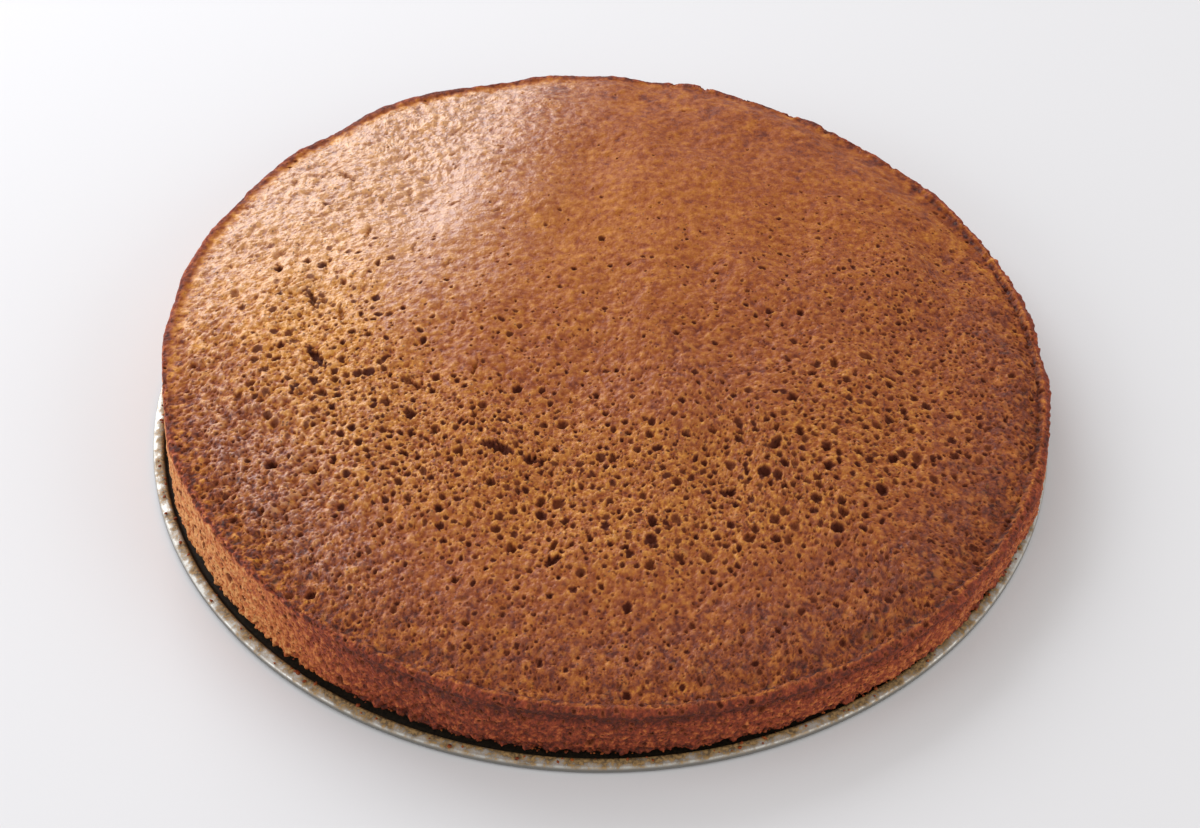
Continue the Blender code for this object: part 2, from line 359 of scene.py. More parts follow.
def crescent(x, y):
    """How far a place on the chart lies in the crescent of open crumb, from 0 to 1."""
    away_x, away_y = x - CRESCENT_CENTRE.x, y - CRESCENT_CENTRE.y
    away = np.hypot(away_x, away_y)
    heading = np.degrees(np.arctan2(away_y, away_x))
    heading = np.where(heading > 90.0, heading - 360.0, heading)
    ends = smooth_step(-205.0, -168.0, heading) * smooth_step(-2.0, -45.0, heading)
    start = between(48.0 * MM, 60.0 * MM, smooth_step(-115.0, -160.0, heading))
    inner = smooth_step(start, start + 30.0 * MM, away)
    return ends * inner * smooth_step(124.0 * MM, 96.0 * MM, away)


def rim_zone(x, y):
    """How near the rim a place lies, from 0 on the dome to 1 at the shoulder."""
    return smooth_step(88.0 * MM, 121.0 * MM, np.hypot(x, y))


def wall_zone(x, y):
    """1 on the wall, 0 on the top."""
    return smooth_step(RIDGE_RADIUS + 1.4 * MM, RIDGE_RADIUS + 3.2 * MM, np.hypot(x, y))


def front_zone(x, y):
    """1 on the near side of the cake, 0 on the far side."""
    return smooth_step(55.0 * MM, -45.0 * MM, y - 0.25 * x)


def left_zone(x, y):
    """1 at the left of the cake, fading out before its middle."""
    return smooth_step(-20.0 * MM, -85.0 * MM, x - 0.2 * y)


def lumpy_zone(x, y):
    """1 round the left shoulder of the dome, where the crust bulged and tore."""
    reach = np.hypot(x, y)
    shoulder = smooth_step(RIDGE_RADIUS - 0.3 * MM, RIDGE_RADIUS - 4.5 * MM, reach)
    return left_zone(x, y) * smooth_step(62.0 * MM, 92.0 * MM, reach) * shoulder


def soft_zone(x, y):
    """1 in the back part of the lumpy zone, where the crust bulged but stayed whole."""
    return lumpy_zone(x, y) * smooth_step(-25.0 * MM, 25.0 * MM, y)


def right_zone(x, y):
    """1 at the right of the cake, but for its far side."""
    return smooth_step(20.0 * MM, 110.0 * MM, x) * smooth_step(90.0 * MM, 20.0 * MM, y)


def gloss_zone(x, y):
    """Where the crust stayed whole and dried with a sheen: the left and the back of the dome."""
    front = front_zone(x, y)
    fade = between(5.0 * MM, 14.0 * MM, front)
    shoulder = smooth_step(RIDGE_RADIUS - 0.5 * MM, RIDGE_RADIUS - fade, np.hypot(x, y))
    back_left = smooth_step(-8.0 * MM, -68.0 * MM, x - 0.2 * y)
    back_left *= smooth_step(-50.0 * MM, 60.0 * MM, y)
    dome = 0.02 + 0.13 * front + (0.26 + 0.08 * front) * left_zone(x, y)
    return np.maximum(back_left, dome) * shoulder


def ledge(heading):
    """How sharply the rim stands out: most at the front and the right."""
    degrees = np.degrees(heading)
    degrees = np.where(degrees > 180.0, degrees - 360.0, degrees)
    return smooth_step(-135.0, -108.0, degrees) * smooth_step(60.0, 20.0, degrees)


def large_pores():
    """Centres and radii of the large pores, drawn as in the part."""
    draw = random.Random(PORE_SEED)
    pores = []
    taken = [(Vector((x, y)), 0.5 * length) for x, y, length, _, _ in CRACKS]
    while len(pores) < PORE_COUNT:
        angle = math.radians(draw.uniform(*CRESCENT_ANGLES))
        away = CRESCENT_RADIUS + draw.gauss(0.0, CRESCENT_SPREAD)
        centre = Vector((math.cos(angle), math.sin(angle))) * away + CRESCENT_CENTRE
        radius = between(*PORE_RADII, draw.random() ** 2)
        turn = draw.uniform(0.0, math.pi)
        clear = all(
            (centre - other).length > radius + reach + PORE_CLEARANCE for other, reach in taken
        )
        if clear and (centre - CAKE_CENTRE.xy).length < PORE_REACH:
            taken.append((centre, radius))
            pores.append((centre, radius, turn))
    return pores


class Pits:
    """Depth, darkness and edges of every pore and crack, on the raster. The darkness is painted
    shade inside them.
    """

    def __init__(self):
        self.depth = np.zeros((RASTER_SIDE, RASTER_SIDE))
        self.dark = np.zeros((RASTER_SIDE, RASTER_SIDE))
        self.edge = np.zeros((RASTER_SIDE, RASTER_SIDE))
        self.shift_x = grain(21, 1.4 * MM, 3.6 * MM)
        self.shift_y = grain(22, 1.4 * MM, 3.6 * MM)

    def free(self, x, y, reach):
        """Whether a pore of this reach would stay clear of the others."""
        spots = np.arange(8) * math.pi / 4.0
        columns = np.append(x + reach * np.cos(spots), x) / RASTER_WIDTH + 0.5
        rows = np.append(y + reach * np.sin(spots), y) / RASTER_WIDTH + 0.5
        place = (rows * RASTER_SIDE).astype(int), (columns * RASTER_SIDE).astype(int)
        return self.depth[place].max() < UNTOUCHED

    def hollow(self, share, depth, dark):
        """Ragged hollows over the whole raster, from how far each pixel lies inside one."""
        self.depth = np.maximum(self.depth, depth * share)
        self.dark = np.maximum(self.dark, dark * share)

    def cut(self, x, y, half_length, half_width, turn, depth, rough=0.13, dark=1.0):
        """One pit with an uneven outline and a round floor."""
        reach = 1.5 * half_length + 0.3 * MM
        size = int(2 * reach / RASTER_WIDTH * RASTER_SIDE) + 2
        first_column = int(((x - reach) / RASTER_WIDTH + 0.5) * RASTER_SIDE)
        first_row = int(((y - reach) / RASTER_WIDTH + 0.5) * RASTER_SIDE)
        place = np.s_[first_row : first_row + size, first_column : first_column + size]
        line = (np.arange(size) + 0.5) / RASTER_SIDE - 0.5
        columns = line * RASTER_WIDTH + first_column * RASTER_WIDTH / RASTER_SIDE - x
        rows = line * RASTER_WIDTH + first_row * RASTER_WIDTH / RASTER_SIDE - y
        away_x, away_y = np.meshgrid(columns, rows)
        along = away_x * math.cos(turn) + away_y * math.sin(turn)
        aside = away_y * math.cos(turn) - away_x * math.sin(turn)
        uneven = rough * min(half_width, 1.2 * MM)
        along += uneven * self.shift_x[place]
        aside += uneven * self.shift_y[place]
        away = np.hypot(along / half_length, aside / half_width)
        sunk = depth * np.clip(1.0 - away**2, 0.0, 1.0)
        self.depth[place] = np.maximum(self.depth[place], sunk)
        self.dark[place] = np.maximum(self.dark[place], dark * smooth_step(1.04, 0.84, away))
        self.edge[place] = np.maximum(self.edge[place], bump_at(away, 1.18, 0.16))


def scatter_pores(pits, seed, density, spread, size, deep, dark):
    """Pores where the zones call for them. Density is the most there can be a square centimetre,
    spread gives the share of it at each place, and size the middle and the play of widths."""
    draw = np.random.default_rng(seed)
    furthest = CHART_RADIUS - 5.0 * MM
    count = int(density * math.pi * (furthest * 100.0) ** 2)
    reach = np.sqrt(draw.random(count)) * furthest
    heading = draw.uniform(-math.pi, math.pi, count)
    x, y = reach * np.cos(heading), reach * np.sin(heading)
    kept = draw.random(count) < spread(x, y)
    widths = size[0] * np.exp(size[1] * draw.standard_normal(count))
    stretch = np.sqrt(1.0 + np.abs(draw.normal(0.0, 0.3, count)))
    turns = draw.uniform(0.0, math.pi, count)
    depths = draw.uniform(0.7, 1.2, count) * deep
    merging = draw.random(count) < MERGING_SHARE
    soft = soft_zone(x, y)
    depths *= 1.0 - 0.4 * soft
    darks = dark * draw.uniform(0.65, 1.1, count) * (1.0 - 0.45 * soft)
    for i in np.flatnonzero(kept):
        half = 0.5 * min(widths[i], 2.0 * size[0])
        if merging[i] or pits.free(x[i], y[i], half + PORE_GAP):
            long, short = half * stretch[i], half / stretch[i]
            deep_here = 2.0 * half * depths[i]
            pits.cut(x[i], y[i], long, short, turns[i], deep_here, dark=min(darks[i], 1.0))


def cut_known(pits):
    """The cracks, large pores, chips and holes that the part has too. A fine skin shows the whole
    of a hollow, so the cracks and pores are cut narrower here."""
    centre = CAKE_CENTRE
    for x, y, length, width, heading in CRACKS:
        turn = math.radians(heading)
        x, y = x - centre.x, y - centre.y
        dark = min(width / (3.0 * MM), 1.0) ** 2
        depth = CRACK_DEPTH * between(0.35, 0.75, dark)
        pits.cut(x, y, 0.5 * length, 0.46 * width, turn, depth, rough=0.32, dark=dark)
    for place, radius, turn in large_pores():
        x, y = place.x - centre.x, place.y - centre.y
        dark = 0.85 + 0.15 * math.sin(turn * 9.0)
        pits.cut(x, y, 0.88 * radius, 0.72 * radius, turn, 0.95 * radius, rough=0.2, dark=dark)
    draw = random.Random(CHIP_SEED)
    for step in range(CHIP_COUNT):
        share = (step + draw.uniform(0.2, 0.8)) / CHIP_COUNT
        angle = math.radians(between(*CHIP_ANGLES, share))
        radius = draw.uniform(*CHIP_RADII)
        way = RIDGE_RADIUS + 1.2 * MM
        x, y = way * math.cos(angle), way * math.sin(angle)
        turn = angle + 0.5 * math.pi
        deep = between(0.35, 0.8, share) * radius
        pits.cut(x, y, 1.4 * radius, 1.3 * radius, turn, deep, rough=0.25, dark=0.1)
    draw = random.Random(HOLE_SEED)
    for step in range(HOLE_COUNT):
        angle = 2.0 * math.pi * (step + draw.uniform(0.15, 0.85)) / HOLE_COUNT
        radius = draw.uniform(*HOLE_RADII)
        low = UNDERCUT_HEIGHT + SHOULDER
        way = wall_way(between(RIM_HEIGHT - 2.5 * SHOULDER, low, draw.random() ** 2))
        x, y = way * math.cos(angle), way * math.sin(angle)
        pits.cut(x, y, 1.2 * radius, 1.1 * radius, angle, 0.9 * radius, rough=0.25, dark=0.8)


def cut_slits(pits):
    """Short cracks round the left shoulder of the dome, most of them along the rings."""
    draw = np.random.default_rng(61)
    for _ in range(SLIT_COUNT):
        angle = draw.uniform(*map(math.radians, SLIT_ANGLES))
        away = draw.normal(SLIT_RADIUS, SLIT_SPREAD)
        x, y = away * math.cos(angle), away * math.sin(angle)
        length = draw.uniform(*SLIT_LENGTHS) * MM
        turn = angle + 0.5 * math.pi + draw.normal(0.0, 0.5)
        depth = draw.uniform(0.4, 0.8) * MM
        if away < PORE_REACH and pits.free(x, y, 0.4 * length):
            wide = 0.10 * length + 0.30 * MM
            pits.cut(x, y, 0.5 * length, wide, turn, depth, rough=0.35, dark=0.25)


def open_spread(x, y):
    """Share of the widest pores at each place: the crescent, and a few at the front."""
    return 0.02 * front_zone(x, y) + 0.98 * crescent(x, y) * (1.0 - 0.6 * soft_zone(x, y))


def common_spread(x, y):
    """Share of the middling pores at each place."""
    front = front_zone(x, y)
    top = 0.01 + 0.36 * front + 0.32 * right_zone(x, y) + 0.36 * crescent(x, y)
    top += 0.25 * front * rim_zone(x, y)
    top *= 1.0 - 0.6 * soft_zone(x, y)
    return between(top, 0.25, wall_zone(x, y))


def fine_spread(x, y):
    """Share of the smallest pores at each place."""
    front = front_zone(x, y)
    top = 0.015 + 0.50 * front + 0.30 * rim_zone(x, y) * front
    top += 0.20 * crescent(x, y) + 0.40 * right_zone(x, y)
    return between(top, 0.4, wall_zone(x, y))


def draw_pits(x, y):
    """All pores and cracks: the part's own, others from large to fine, and ragged hollows."""
    pits = Pits()
    cut_known(pits)
    cut_slits(pits)
    scatter_pores(pits, 31, OPEN_PORES, open_spread, (OPEN_WIDTH, 0.26), 0.48, 1.0)
    scatter_pores(pits, 32, COMMON_PORES, common_spread, (COMMON_WIDTH, 0.26), 0.48, 0.95)
    scatter_pores(pits, 33, FINE_PORES, fine_spread, (FINE_WIDTH, 0.18), 0.42, 0.85)
    wall = wall_zone(x, y)
    torn = lumpy_zone(x, y) - 0.65 * soft_zone(x, y)
    torn = np.maximum(0.8 * crescent(x, y), torn * (1.0 - wall))
    level = between(between(3.0, 1.15, torn), 1.5, wall)
    share = smooth_step(level, level + 0.8, -grain(34, 1.5 * MM, 4.2 * MM))
    pits.hollow(share, 0.7 * MM, 0.5)
    level = between(between(3.0, 1.6, openness(x, y)), 1.5, wall)
    share = smooth_step(level, level + 0.7, -grain(35, 0.9 * MM, 2.4 * MM))
    pits.hollow(share, 0.30 * MM, 0.5)
    return pits


def openness(x, y):
    """How torn and porous the crust is, from 0 where it stayed whole to 1."""
    rim = np.maximum(0.9 * front_zone(x, y) * rim_zone(x, y), 0.6 * lumpy_zone(x, y))
    return np.maximum(np.maximum(crescent(x, y), rim), 0.6 * right_zone(x, y))


def ladder(x, y):
    """A few short parallel folds beside the cracks at the left."""
    away_x, away_y = x + CAKE_CENTRE.x - LADDER_X, y + CAKE_CENTRE.y - LADDER_Y
    turn = math.radians(LADDER_TURN)
    along = away_x * math.cos(turn) + away_y * math.sin(turn)
    aside = away_y * math.cos(turn) - away_x * math.sin(turn)
    waves = np.sin(2.0 * math.pi * aside / LADDER_STEP)
    return waves * bump_at(along, 0.0, 3.8 * MM) * bump_at(aside, 0.0, 4.5 * MM)


def crust_relief(x, y):
    """Height of the crust's relief on the raster, before its pits: lumps, folds and knobs. The
    weights are in millimetres."""
    wall = wall_zone(x, y)
    porous = np.maximum(openness(x, y), 0.8 * front_zone(x, y))
    left = lumpy_zone(x, y)
    lumps = grain(41, 3.8 * MM, 10.0 * MM)
    folds = np.abs(grain(42, 2.6 * MM, 7.0 * MM)) - 0.8
    lumpy = np.maximum(front_zone(x, y) * (1.0 - 0.7 * crescent(x, y)), left - soft_zone(x, y))
    boulders = knobs(46, BOULDER_WIDTH)
    coarse = knobs(43, KNOB_WIDTH)
    crumb = knobs(44, CRUMB_WIDTH)
    top = (0.09 + 0.11 * left) * lumps
    top += (0.015 + 0.06 * porous + 0.02 * left) * folds
    near_left = left_zone(x, y) * front_zone(x, y)
    top += (0.026 + 0.072 * porous + 0.035 * left + 0.03 * near_left) * coarse
    top += (0.03 + 0.10 * lumpy + 0.06 * near_left) * boulders
    top += (0.016 + 0.026 * porous + 0.016 * left) * crumb + 0.26 * ladder(x, y)
    reach = np.hypot(x, y)
    below = 0.2 + 0.8 * smooth_step(RIDGE_RADIUS + 2.0 * MM, RIDGE_RADIUS + 8.0 * MM, reach)
    below += 0.8 * smooth_step(wall_way(8.0 * MM), wall_way(4.6 * MM), reach)
    side = (0.13 * lumps + 0.12 * coarse + 0.07 * crumb) * below
    return between(top, side, wall) * MM


def browning_and_painted_light(x, y, pits, rise):
    """How far the crust is browned at each pixel: 0 is pale tan, 1 is dark brown. The weights were
    set zone by zone."""
    # Besides the browning, painted shade and painted highlights are added here: in the crease, on
    # the crest, round the pores and knobs, on the right and on the wall
    reach = np.hypot(x, y)
    rim = rim_zone(x, y)
    sharp = ledge(np.arctan2(y, x))
    patches = grain(51, 7.0 * MM, 26.0 * MM)
    mottle = grain(52, 2.2 * MM, 7.0 * MM)
    specks = grain(53, 0.7 * MM, 2.0 * MM)
    uneven = np.clip(0.8 + 0.5 * mottle, 0.0, 1.5)
    # The crease inside the rim is painted darker as shade, and the crest of the ridge lighter as a
    # painted highlight
    crease = bump_at(reach, RIDGE_RADIUS - 1.3 * MM, 0.7 * MM) * uneven
    crest = bump_at(reach, RIDGE_RADIUS + 0.1 * MM, 0.45 * MM)
    wide = between(2.6 * MM, 8.0 * MM, smooth_step(30.0 * MM, -30.0 * MM, y))
    edge = smooth_step(RIDGE_RADIUS - wide, RIDGE_RADIUS - 1.5 * MM, reach) * (1.0 - sharp)
    outline = smooth_step(RIDGE_RADIUS - 1.4 * MM, RIDGE_RADIUS - 0.3 * MM, reach) * (1.0 - sharp)
    front = front_zone(x, y)
    # Round the left of the dome the crust is paler: partly a paler crust, and partly painted light
    # on the side turned to the window
    pale = left_zone(x, y) * smooth_step(-40.0 * MM, 30.0 * MM, y)
    pale *= smooth_step(RIDGE_RADIUS - 0.3 * MM, RIDGE_RADIUS - 2.5 * MM, reach)
    top = 0.51 - (0.12 + 0.06 * left_zone(x, y)) * crescent(x, y)
    near_left = left_zone(x, y) * front
    top += 0.10 * rim * front + 0.09 * front - 0.05 * near_left
    # The right of the top is painted browner, as shade on the side turned away from the window
    top += 0.05 * smooth_step(-10.0 * MM, 60.0 * MM, x)
    top += 0.07 * smooth_step(40.0 * MM, 100.0 * MM, y) * (1.0 - pale)
    top -= pale * (0.11 + 0.06 * smooth_step(55.0 * MM, 90.0 * MM, reach))
    top += 0.28 * crease * sharp - 0.20 * crest * sharp + 0.07 * outline * (1.0 - front)
    top += between(0.06, 0.13, front) * edge * np.clip(0.4 + 0.9 * mottle, -0.2, 1.6)
    top += (0.025 + 0.03 * rim) * patches
    top += (0.03 + 0.03 * pale + 0.02 * front + 0.03 * near_left) * mottle
    top += (0.02 + 0.03 * openness(x, y) + 0.04 * pale + 0.04 * near_left) * specks
    # Painted highlights on the lips of pores and on knobs that stand out, and painted shade in the
    # creases between them
    top -= 0.15 * pits.edge + 0.06 * rise
    # On the wall the left is paler and more golden, partly its own crumb and partly painted light
    # from the left; the recess under the ledge and the lower wall towards the foot are painted
    # darker as shade, and raised crumb lighter as a painted highlight
    golden = smooth_step(-55.0 * MM, -122.0 * MM, x)
    recess = smooth_step(RIDGE_RADIUS + 1.0 * MM, RIDGE_RADIUS + 2.2 * MM, reach)
    recess *= smooth_step(RIDGE_RADIUS + 8.5 * MM, RIDGE_RADIUS + 5.0 * MM, reach) * sharp
    side = between(0.64, 0.15, golden) + 0.24 * recess + 0.07 * mottle + 0.05 * specks
    side -= 0.15 * smooth_step(0.0, 90.0 * MM, x) + 0.07 * rise
    side += 0.25 * smooth_step(wall_way(8.0 * MM), wall_way(4.5 * MM), reach) * (1.0 - golden)
    return np.clip(between(top, side, wall_zone(x, y)), 0.0, 1.0)


def tinting(x, y):
    """Patches of mauve brown, below 0, and of orange, above 0."""
    rim = rim_zone(x, y) * (1.0 - wall_zone(x, y))
    patches = 0.7 * grain(54, 3.5 * MM, 14.0 * MM) + 0.5 * grain(55, 1.8 * MM, 5.0 * MM)
    front = front_zone(x, y)
    return np.clip(patches * (0.12 + 0.22 * front + 0.10 * rim + 0.14 * rim * front), -1.0, 1.0)


def chart_places():
    """Distances and headings on the chart of all the grid's points, row by row. Each square ring
    of the grid becomes a round ring of the chart."""
    line = np.linspace(-1.0, 1.0, CHART_ROWS + 1)
    s, t = np.meshgrid(line, line, indexing="xy")
    sideways = np.abs(s) > np.abs(t)
    away = np.where(sideways, s, t)
    held = np.where(np.abs(away) > 1e-9, away, 1.0)
    turn = 0.25 * math.pi * np.where(sideways, t, s) / held
    heading = np.where(sideways, turn, 0.5 * math.pi - turn)
    heading = np.where(away < 0.0, heading + math.pi, heading)
    return np.abs(away), heading


def skin_points(away, heading, relief, lumps):
    """Places in the frame, and on the chart, of points of the cake's skin."""
    way = away * CHART_RADIUS
    radius = np.interp(way, WAY_LINE, RADIUS_LINE)
    height = np.interp(way, WAY_LINE, HEIGHT_LINE)
    step = 0.2 * MM
    run, fall = (
        np.interp(way + step, WAY_LINE, line) - np.interp(way - step, WAY_LINE, line)
        for line in (RADIUS_LINE, HEIGHT_LINE)
    )
    length = np.maximum(np.hypot(run, fall), 1e-9)
    out, up = -fall / length, run / length
    cosine, sine = np.cos(heading), np.sin(heading)
    normal = np.stack([out * cosine, out * sine, up], -1)
    blank = np.stack([radius * cosine, radius * sine, height], -1)

    share = np.clip((height - UNDERCUT_HEIGHT) / (RIM_HEIGHT - UNDERCUT_HEIGHT), 0.0, 1.0)
    inward = np.clip(1.0 - (radius / RIM_RADIUS) ** 2, 0.0, 1.0) * (way < RIDGE_RADIUS)
    shift = (inward * share)[..., None] * np.array(DOME_TOP)
    chart_x = way * cosine + shift[..., 0]
    chart_y = way * sine + shift[..., 1]

    raised = np.clip((height - UNDERCUT_HEIGHT) / SHOULDER, 0.0, 1.0)
    blank += normal * (swell(blank) * raised)[..., None]
    turns = np.mean([np.sin(t * heading + t) for t in RAGGED_TURNS], axis=0)
    foot = 1.0 - smooth_step(UNDERCUT_HEIGHT, 8.0 * MM, height)
    uneven = np.clip(read(lumps, way * cosine, way * sine), -1.5, 1.5)
    foot *= 1.0 - 0.6 * bump_at(heading, math.radians(212.0), math.radians(38.0))
    outward = -(RAGGED_DEPTH * (0.5 + 0.5 * turns) + 0.25 * MM * (1.0 + uneven)) * foot
    wobble = 1.0 + 0.3 * uneven
    standing = (0.15 + 0.85 * ledge(heading)) * wobble
    sharp = standing * smooth_step(RIDGE_RADIUS, RIDGE_RADIUS + 0.6 * MM, way)
    outward += LEDGE_OUT * sharp * bump_at(height, RIM_HEIGHT - 0.1 * MM, 0.7 * MM)
    outward -= RECESS_IN * sharp * bump_at(height, RIM_HEIGHT - 3.2 * MM, 1.6 * MM)
    blank[..., 0] += outward * cosine
    blank[..., 1] += outward * sine
    flat = 1.0 - ledge(heading)
    filled = CREASE_DEPTH * bump_at(way, CREASE_RADIUS, CREASE_WIDTH)
    filled -= RIDGE_AGAINST_CREASE * RIDGE_HEIGHT * bump_at(way, RIDGE_RADIUS, RIDGE_WIDTH)
    blank[..., 2] += CREASE_FILLED * filled * flat
    crest = bump_at(way, RIDGE_RADIUS + 0.1 * MM, 0.5 * MM)
    crease = bump_at(way, RIDGE_RADIUS - 1.5 * MM, 0.7 * MM)
    blank[..., 2] += FINE_RIDGE_HEIGHT * standing * crest
    blank[..., 2] -= FINE_CREASE_DEPTH * standing * crease
    held = smooth_step(BOTTOM_HEIGHT, LIP_HEIGHT + 1.2 * MM, height)
    blank += normal * (read(relief, chart_x, chart_y) * held)[..., None]

    moved = blank + shift
    tilt = (RIM_RISE_RIGHT * moved[..., 0] + RIM_RISE_BACK * moved[..., 1]) / RIM_RADIUS
    moved[..., 2] += share * tilt
    return moved + np.array(CAKE_CENTRE), chart_x, chart_y


def surface_normals(points):
    """Normals of the whole skin, so that its bands shade as one."""
    along = np.gradient(points, axis=1)
    across = np.gradient(points, axis=0)
    normal = np.cross(along, across)
    return normal / np.maximum(np.linalg.norm(normal, axis=-1, keepdims=True), 1e-12)


def band_mesh(name, first, rows):
    """A flat grid over some rows of the chart's square, and which row and column each point of
    its mesh is."""
    bm = bmesh.new()
    bmesh.ops.create_grid(bm, x_segments=CHART_ROWS, y_segments=rows, size=0.5)
    mesh = bpy.data.meshes.new(name)
    bm.to_mesh(mesh)
    bm.free()
    flat = np.empty(len(mesh.vertices) * 3, np.float32)
    mesh.vertices.foreach_get("co", flat)
    flat = flat.reshape(-1, 3)
    column = np.rint((flat[:, 0] + 0.5) * CHART_ROWS).astype(int)
    row = first + np.rint((flat[:, 1] + 0.5) * rows).astype(int)
    return mesh, row, column


def point_values(mesh, name, values):
    """Stores one number a point on the mesh, for its material to read."""
    stored = mesh.attributes.new(name, "FLOAT", "POINT")
    stored.data.foreach_set("value", values.astype(np.float32))


def plain_crumb(mesh, brown, wall):
    """Values that make the crust's material look like plain crumb, browned this far."""
    values = {"brown": brown, "tint": 0.0, "pit": 0.0, "open": 1.0, "gloss": 0.0, "wall": wall}
    for name, value in values.items():
        point_values(mesh, name, np.full(len(mesh.vertices), value))


def bake_map(mesh, x, y):
    """A UV map that is the chart seen flat."""
    corners = np.empty(len(mesh.loops), np.int32)
    mesh.loops.foreach_get("vertex_index", corners)
    flat = np.stack([(x - x.min()) / np.ptp(x), (y - y.min()) / np.ptp(y)], 1)[corners]
    mesh.uv_layers.new(name="OFBake").uv.foreach_set("vector", flat.astype(np.float32).ravel())


def set_in_scene(obj, slot, *nodes):
    """Puts a finished piece into the scene, on the part's one body."""
    bpy.context.scene.collection.objects.link(obj)
    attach(obj, "root")
    if nodes:
        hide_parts(*nodes)


def cake_skin(finish):
    """The cake's skin, in bands from front to back. Returns the places of its foot, in order."""
    x, y = raster_places()
    pits = draw_pits(x, y)
    lumps = grain(45, 3.0 * MM, 9.0 * MM)
    crust = crust_relief(x, y)
    rise = np.clip(standing_out(crust, SURROUNDINGS) / RISE_UNIT, -1.6, 1.6)
    relief = crust + PORE_LIP * pits.edge * (1.0 - wall_zone(x, y)) - pits.depth
    away, heading = chart_places()
    points, chart_x, chart_y = skin_points(away, heading, relief, lumps)
    normals = surface_normals(points)
    gloss = gloss_zone(chart_x, chart_y)
    uneven = 1.0 + 0.8 * read(rise, chart_x, chart_y) * (1.0 - gloss)
    way = away * CHART_RADIUS
    values = {
        "brown": read(browning_and_painted_light(x, y, pits, rise), chart_x, chart_y),
        "tint": read(tinting(x, y), chart_x, chart_y),
        "pit": read(pits.dark, chart_x, chart_y),
        "open": openness(chart_x, chart_y),
        "gloss": gloss * np.clip(uneven, 0.1, 2.4),
        "wall": smooth_step(RIDGE_RADIUS - 0.5 * MM, RIDGE_RADIUS + 0.8 * MM, way),
    }
    rows = CHART_ROWS // BANDS
    for band in range(BANDS):
        mesh, row, column = band_mesh(f"cake_band_{band + 1}", band * rows, rows)
        mesh.vertices.foreach_set("co", points[row, column].astype(np.float32).ravel())
        for name, value in values.items():
            point_values(mesh, name, value[row, column])
        bake_map(mesh, chart_x[row, column], chart_y[row, column])
        mesh.shade_smooth()
        mesh.normals_split_custom_set_from_vertices(normals[row, column])
        mesh.materials.append(finish)
        set_in_scene(bpy.data.objects.new(mesh.name, mesh), "crumb", "cake")
    edge = away > 0.9999
    order = np.argsort(heading[edge] % (2.0 * math.pi))
    return points[edge][order]


def cake_underside(foot, finish):
    """The flat underside, from the foot of the skin to the middle."""
    bm = bmesh.new()
    bmesh.ops.create_circle(bm, cap_ends=True, cap_tris=True, segments=len(foot), radius=1.0)
    centre = min(bm.verts, key=lambda vertex: vertex.co.length)
    ring = sorted(
        (vertex for vertex in bm.verts if vertex is not centre),
        key=lambda vertex: math.atan2(vertex.co.y, vertex.co.x) % (2.0 * math.pi),
    )
    for vertex, point in zip(ring, foot):
        vertex.co = point
    centre.co = CAKE_CENTRE + Vector((0.0, 0.0, BOTTOM_HEIGHT))
    bmesh.ops.recalc_face_normals(bm, faces=bm.faces)
    bm.faces.ensure_lookup_table()
    if bm.faces[0].normal.z > 0.0:
        bmesh.ops.reverse_faces(bm, faces=bm.faces)
    mesh = bpy.data.meshes.new("cake_underside")
    bm.to_mesh(mesh)
    bm.free()
    plain_crumb(mesh, 0.8, 1.0)
    mesh.materials.append(finish)
    set_in_scene(bpy.data.objects.new("cake_underside", mesh), "crumb", "cake")


def mixed(tree, factor, first, second):
    """The socket of a blend of two colours, each a socket or a hex code. The node's own sockets
    for colours are its inputs 6 and 7 and its output 2."""
    mix = add(tree, "ShaderNodeMix", {"Factor": factor}, data_type="RGBA")
    for socket, colour in ((mix.inputs[6], first), (mix.inputs[7], second)):
        if isinstance(colour, str):
            socket.default_value = hex_colour(colour)
        else:
            tree.links.new(colour, socket)
    return mix.outputs[2]


def ranged(tree, value, low, high, to_low=0.0, to_high=1.0):
    """The socket of a value mapped from one range to another, and held inside it."""
    limits = {"From Min": low, "From Max": high, "To Min": to_low, "To Max": to_high}
    return add(tree, "ShaderNodeMapRange", {"Value": value, **limits}).outputs["Result"]


def maths(tree, operation, *values):
    """The socket of a sum on values, each a number or a socket."""
    return add(tree, "ShaderNodeMath", dict(enumerate(values)), operation=operation).outputs[0]


